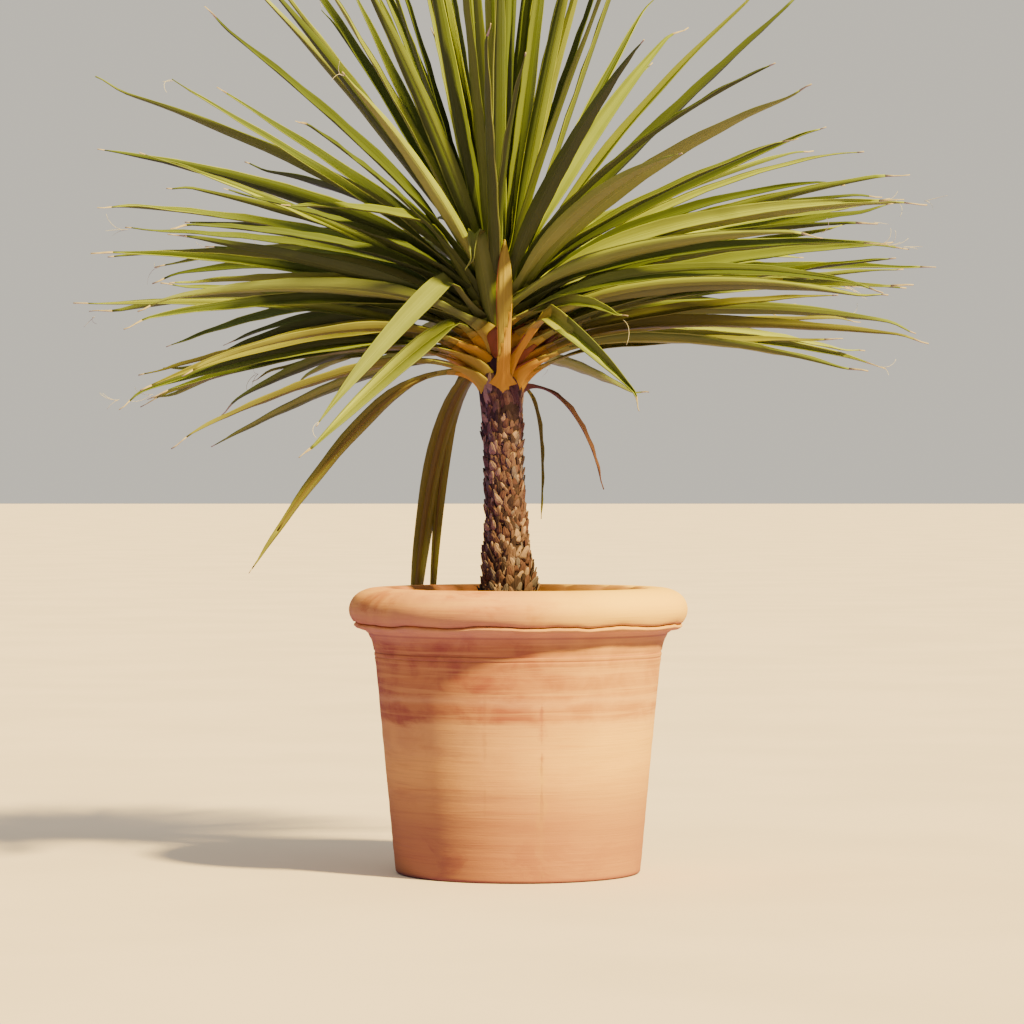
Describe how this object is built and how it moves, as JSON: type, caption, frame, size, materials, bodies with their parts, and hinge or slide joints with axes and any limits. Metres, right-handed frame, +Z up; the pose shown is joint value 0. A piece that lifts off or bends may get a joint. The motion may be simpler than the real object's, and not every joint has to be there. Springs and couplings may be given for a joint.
{
  "type": "potted cordyline",
  "caption": "Palm-like cordyline: a leaning scarred trunk with a round head of sword leaves, in a tapered terracotta pot with a rolled rim.",
  "frame": {"origin": "middle of the pot's flat underside", "axes": "+Z up, -Y towards the viewer of the front, +X to that viewer's right"},
  "size_m": [1.4987, 1.3405, 1.8627],
  "materials": {
    "terracotta": "unglazed, weathered clay",
    "compost": "loose, moist",
    "bark": "rough, scarred",
    "leaf": "satin leaf",
    "old_leaf": "dull, yellowing leaf"
  },
  "bodies": {
    "root": {"pot": "terracotta", "soil": "compost", "trunk": "bark", "leaves_row1_1": "old_leaf", "leaves_row1_2": "leaf", "leaves_row1_3": "leaf", "leaves_row1_4": "leaf", "leaves_row1_5": "leaf", "leaves_row1_6": "leaf", "leaves_row1_7": "leaf", "leaves_row2_1": "old_leaf", "leaves_row2_2": "leaf", "leaves_row2_3": "leaf", "leaves_row2_4": "leaf", "leaves_row2_5": "leaf", "leaves_row2_6": "leaf", "leaves_row2_7": "leaf", "leaves_row3_1": "old_leaf", "leaves_row3_2": "leaf", "leaves_row3_3": "leaf", "leaves_row3_4": "leaf", "leaves_row3_5": "leaf", "leaves_row3_6": "leaf", "leaves_row3_7": "leaf", "leaves_row4_1": "old_leaf", "leaves_row4_2": "leaf", "leaves_row4_3": "leaf", "leaves_row4_4": "leaf", "leaves_row4_5": "leaf", "leaves_row4_6": "leaf", "leaves_row4_7": "leaf", "leaves_row5_1": "old_leaf", "leaves_row5_3": "leaf", "leaves_row5_4": "leaf", "leaves_row5_5": "leaf", "leaves_row5_6": "leaf", "leaves_row5_7": "leaf", "leaves_row6_1": "old_leaf", "leaves_row6_2": "leaf", "leaves_row6_3": "leaf", "leaves_row6_4": "leaf", "leaves_row6_5": "leaf", "leaves_row6_6": "leaf", "leaves_row6_7": "leaf", "leaves_row7_1": "old_leaf", "leaves_row7_2": "leaf", "leaves_row7_3": "leaf", "leaves_row7_4": "leaf", "leaves_row7_5": "leaf", "leaves_row7_6": "leaf", "leaves_row7_7": "leaf", "leaves_row8_2": "leaf", "leaves_row8_3": "leaf", "leaves_row8_4": "leaf", "leaves_row8_5": "leaf", "leaves_row8_6": "leaf", "leaves_row8_7": "leaf", "heart": "leaf"}
  },
  "joints": []
}
